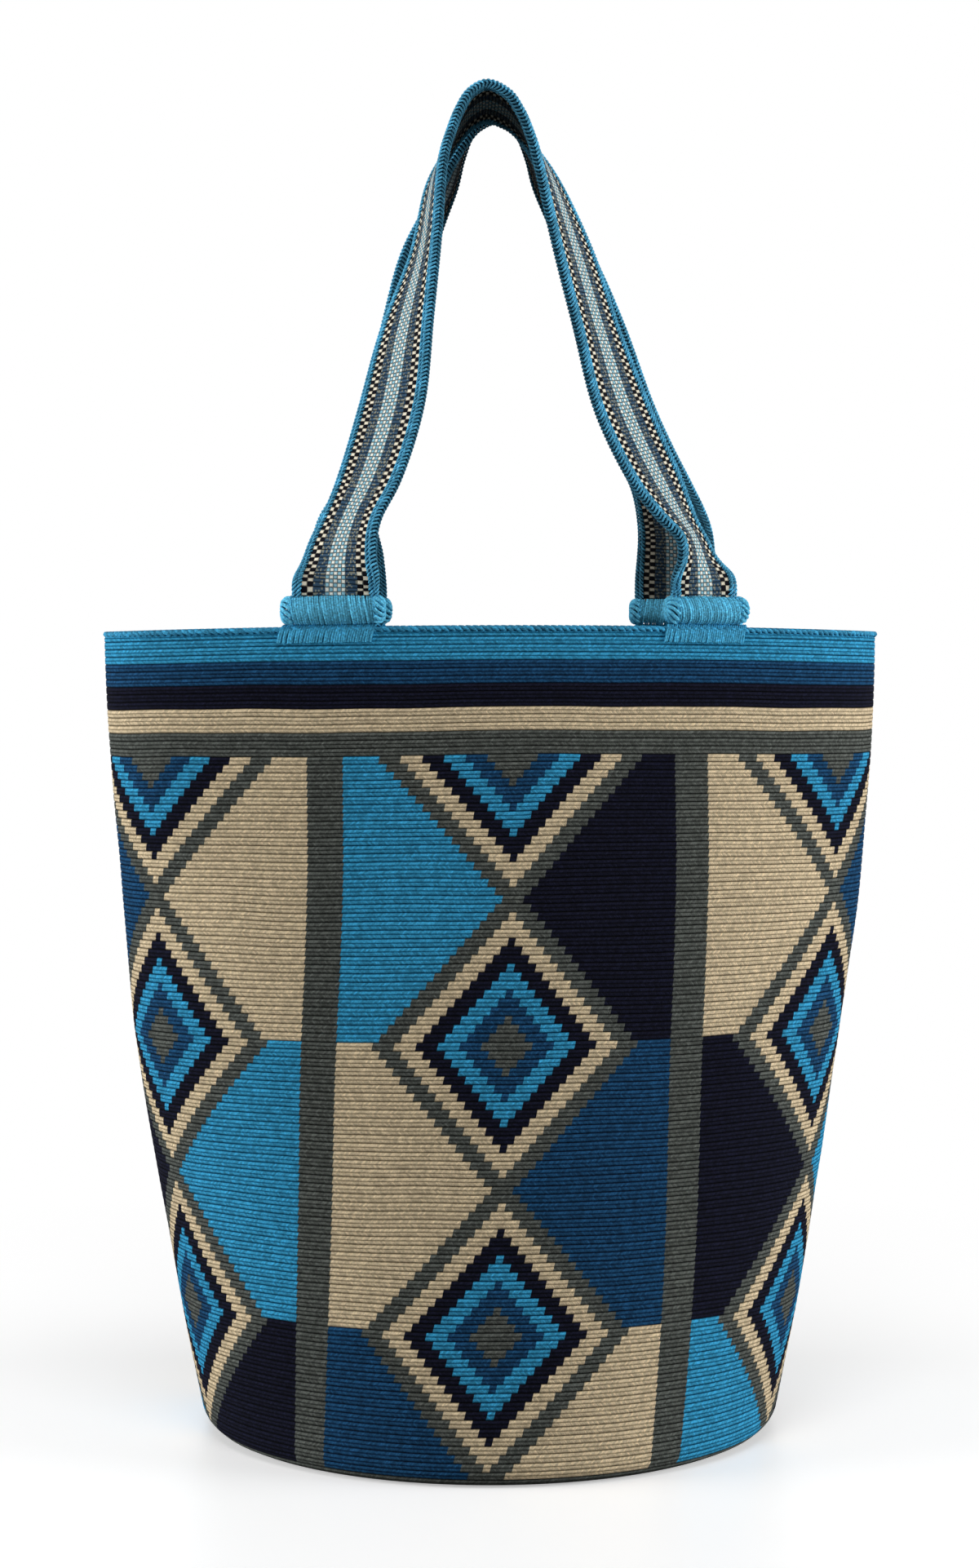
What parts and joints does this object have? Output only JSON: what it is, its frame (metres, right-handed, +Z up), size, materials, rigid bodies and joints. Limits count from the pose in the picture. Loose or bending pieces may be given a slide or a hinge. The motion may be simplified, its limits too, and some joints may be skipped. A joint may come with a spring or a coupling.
{
  "type": "crocheted mochila bag",
  "caption": "Soft bucket bag crocheted in bands and stepped diamonds, with an open oval mouth and woven shoulder straps bound and stitched to its rim.",
  "frame": {"origin": "middle of the bag's base, on the surface that it stands on", "axes": "+Z up, +X to the right along the mouth, and the front faces -Y"},
  "size_m": [0.2974, 0.2174, 0.5134],
  "materials": {
    "body_yarn": "matt crocheted yarn in grey, blues, navy and beige",
    "strap_weave": "matt woven yarn with pale blue borders and small checks",
    "binding_yarn": "soft wound yarn in light blue"
  },
  "bodies": {
    "root": {"crocheted_body": "body_yarn", "front_strap": "strap_weave", "back_strap": "strap_weave", "front_left_binding": "binding_yarn", "front_left_whip_stitches": "binding_yarn", "front_right_binding": "binding_yarn", "front_right_whip_stitches": "binding_yarn", "back_right_binding": "binding_yarn", "back_right_whip_stitches": "binding_yarn", "back_left_binding": "binding_yarn", "back_left_whip_stitches": "binding_yarn"}
  },
  "joints": []
}
